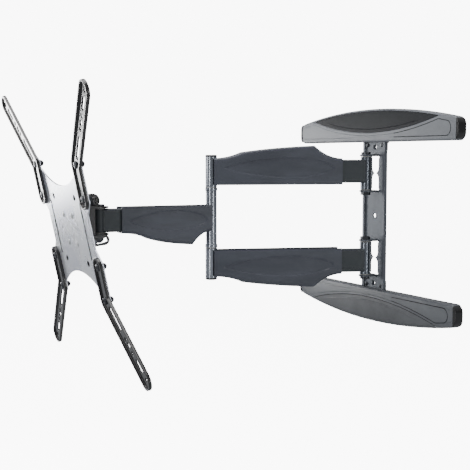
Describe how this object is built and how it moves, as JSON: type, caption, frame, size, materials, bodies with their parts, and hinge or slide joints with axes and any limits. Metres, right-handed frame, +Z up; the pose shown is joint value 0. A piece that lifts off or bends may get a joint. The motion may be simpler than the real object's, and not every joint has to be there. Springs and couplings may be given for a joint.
{
  "type": "full motion tv wall mount",
  "caption": "Cantilever television wall mount with paired rear arms, one front arm, an elbow, a swivel and a tilting plate with four outward claws.",
  "frame": {"origin": "centre of the wall fixing slots, on the plane of the wall", "axes": "+Z up; +Y into the wall, so the mount reaches towards -Y into the room; +X to the right as seen from the room"},
  "size_m": [0.5209, 0.5545, 0.4216],
  "materials": {
    "spine_steel": "semi-gloss grey powder coat",
    "black_steel": "satin black powder coat",
    "light_cover": "silver-grey moulded plastic, satin gloss",
    "grey_cover": "mid-grey moulded plastic, satin gloss",
    "dark_inlay": "charcoal moulded plastic, glossy",
    "grey_inlay": "grey moulded plastic, glossy",
    "black_plastic": "fine-textured black plastic",
    "dark_bolt": "dark zinc plating",
    "gloss_barrel": "high-gloss dark grey paint",
    "bush_plastic": "natural acetal",
    "charcoal_tube": "semi-gloss charcoal powder coat",
    "slate_cover": "satin slate-grey moulded plastic",
    "rivet": "bright zinc plating",
    "plate_paint": "semi-gloss silvery-white powder coat",
    "claw_paint": "high-gloss black paint"
  },
  "bodies": {
    "wall_bracket": {"wall_spine": "spine_steel", "top_wing": "black_steel", "bottom_wing": "black_steel", "top_cover": "light_cover", "bottom_cover": "grey_cover", "top_inlay": "dark_inlay", "bottom_inlay": "grey_inlay", "top_end_caps": "black_plastic", "bottom_end_caps": "black_plastic", "spine_screws": "dark_bolt", "upper_wall_bolt": "dark_bolt", "lower_wall_bolt": "dark_bolt", "wall_nuts": "dark_bolt"},
    "rear_arms": {"upper_wall_barrel": "gloss_barrel", "lower_wall_barrel": "gloss_barrel", "wall_bushings": "bush_plastic", "upper_rear_tube": "charcoal_tube", "lower_rear_tube": "charcoal_tube", "upper_elbow_barrel": "gloss_barrel", "lower_elbow_barrel": "gloss_barrel", "upper_rear_cover": "slate_cover", "lower_rear_cover": "slate_cover", "elbow_pin": "dark_bolt", "elbow_caps": "black_plastic"},
    "front_arm": {"elbow_sleeve": "gloss_barrel", "elbow_bushings": "bush_plastic", "front_tube": "charcoal_tube", "front_cover": "slate_cover", "swivel_barrel": "charcoal_tube", "swivel_bushings": "bush_plastic"},
    "swivel_head": {"swivel_yoke": "black_steel", "swivel_bolt": "dark_bolt", "swivel_nut": "dark_bolt", "tilt_bolt": "dark_bolt", "tilt_nut": "dark_bolt", "tilt_guide_bolts": "dark_bolt", "tilt_washers": "bush_plastic"},
    "tilt_head": {"tilt_bracket": "black_steel", "bracket_rivets": "rivet", "vesa_plate": "plate_paint", "claw_top_left": "claw_paint", "claw_top_right": "claw_paint", "claw_bottom_left": "claw_paint", "claw_bottom_right": "claw_paint", "claw_bolts": "dark_bolt", "claw_nuts": "dark_bolt"},
    "knob": {"tilt_knob": "black_plastic"}
  },
  "joints": [
    {"name": "wall_swing", "type": "hinge", "parent": "wall_bracket", "child": "rear_arms", "pos_m": [0, -0.0235, 0], "axis": [0, 0, 1], "range_deg": [-73, 107]},
    {"name": "elbow_swing", "type": "hinge", "parent": "rear_arms", "child": "front_arm", "pos_m": [-0.07602, -0.27214, 0], "axis": [0, 0, -1], "range_deg": [-100, 115]},
    {"name": "head_swivel", "type": "hinge", "parent": "front_arm", "child": "swivel_head", "pos_m": [-0.08586, -0.45988, 0], "axis": [0, 0, 1], "range_deg": [-90, 90]},
    {"name": "head_tilt", "type": "hinge", "parent": "swivel_head", "child": "tilt_head", "pos_m": [-0.08586, -0.47988, 0.032], "axis": [1, 0, 0], "range_deg": [-17, 3]},
    {"name": "knob_turn", "type": "hinge", "parent": "swivel_head", "child": "knob", "pos_m": [-0.04786, -0.47988, 0.032], "axis": [1, 0, 0], "range_deg": [-180, 180]}
  ]
}
